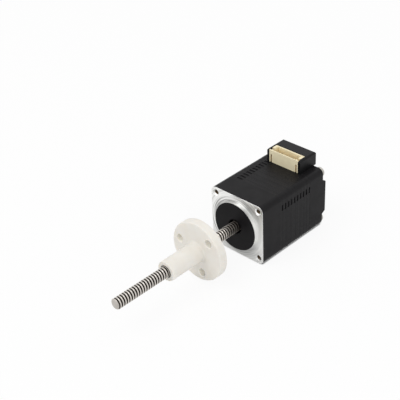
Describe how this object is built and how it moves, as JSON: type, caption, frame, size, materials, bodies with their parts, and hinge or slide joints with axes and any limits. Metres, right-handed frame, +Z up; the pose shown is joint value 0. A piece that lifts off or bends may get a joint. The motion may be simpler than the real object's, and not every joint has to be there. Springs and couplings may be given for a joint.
{
  "type": "stepper motor with lead screw",
  "caption": "Square stepper motor whose shaft is a threaded lead screw that drives a round flanged plastic nut, with a plug socket on top.",
  "frame": {"origin": "centre of the front mounting face, on the screw's axis", "axes": "-Y along the screw towards its free end, +Y towards the back of the motor, +X to the right seen from the front, +Z up, where the connector is"},
  "size_m": [0.0282, 0.1099, 0.0344],
  "materials": {
    "cast_bell": "black paint on die casting, with a bare turned mounting face",
    "lamination_steel": "black painted lamination edges",
    "winding_nylon": "black moulded",
    "coil_wire": "enamelled copper",
    "contact_metal": "tin plated",
    "board": "solder mask",
    "header_nylon": "natural moulded nylon",
    "cover_nylon": "black moulded",
    "plated_steel": "plated",
    "spring_steel": "rolled strip",
    "bearing_steel": "ground",
    "screw_steel": "rolled thread",
    "rotor_steel": "ground laminations",
    "magnet": "plated magnet",
    "nut_acetal": "natural acetal"
  },
  "bodies": {
    "motor": {"front_end_bell": "cast_bell", "rear_end_bell": "cast_bell", "stator_stack": "lamination_steel", "front_winding_frame": "winding_nylon", "rear_winding_frame": "winding_nylon", "phase_a_coils": "coil_wire", "phase_b_coils": "coil_wire", "winding_terminals": "contact_metal", "circuit_board": "board", "connector_header": "header_nylon", "connector_pins": "contact_metal", "connector_anchors": "contact_metal", "connector_cover": "cover_nylon", "tie_screws": "plated_steel", "preload_washer": "spring_steel", "front_bearing_outer_race": "bearing_steel", "front_bearing_shields": "spring_steel", "rear_bearing_outer_race": "bearing_steel", "rear_bearing_shields": "spring_steel"},
    "rotor": {"lead_screw": "screw_steel", "rotor_front_core": "rotor_steel", "rotor_magnet": "magnet", "rotor_rear_core": "rotor_steel", "front_bearing_inner_race": "bearing_steel", "rear_bearing_inner_race": "bearing_steel", "front_spacer": "plated_steel", "rear_spacer": "plated_steel"},
    "front_ball_set": {"front_bearing_balls": "bearing_steel", "front_bearing_cage": "spring_steel"},
    "rear_ball_set": {"rear_bearing_balls": "bearing_steel", "rear_bearing_cage": "spring_steel"},
    "nut": {"flange_nut": "nut_acetal"}
  },
  "joints": [
    {"name": "screw_spin", "type": "hinge", "parent": "motor", "child": "rotor", "pos_m": [0, 0, 0], "axis": [0, -1, 0], "range_deg": [-5040, 6480]},
    {"name": "nut_travel", "type": "slide", "parent": "motor", "child": "nut", "axis": [0, -1, 0], "range_m": [-0.018, 0.023]},
    {"name": "front_balls_orbit", "type": "hinge", "parent": "motor", "child": "front_ball_set", "pos_m": [0, 0.0042, 0], "axis": [0, -1, 0], "range_deg": [-2050, 2640]},
    {"name": "rear_balls_orbit", "type": "hinge", "parent": "motor", "child": "rear_ball_set", "pos_m": [0, 0.0372, 0], "axis": [0, -1, 0], "range_deg": [-2050, 2640]}
  ],
  "couplings": [
    {"joint": "nut_travel", "follows": "screw_spin", "m_per_rad": 0.00020213},
    {"joint": "front_balls_orbit", "follows": "screw_spin", "ratio": 0.40625},
    {"joint": "rear_balls_orbit", "follows": "screw_spin", "ratio": 0.40625}
  ]
}
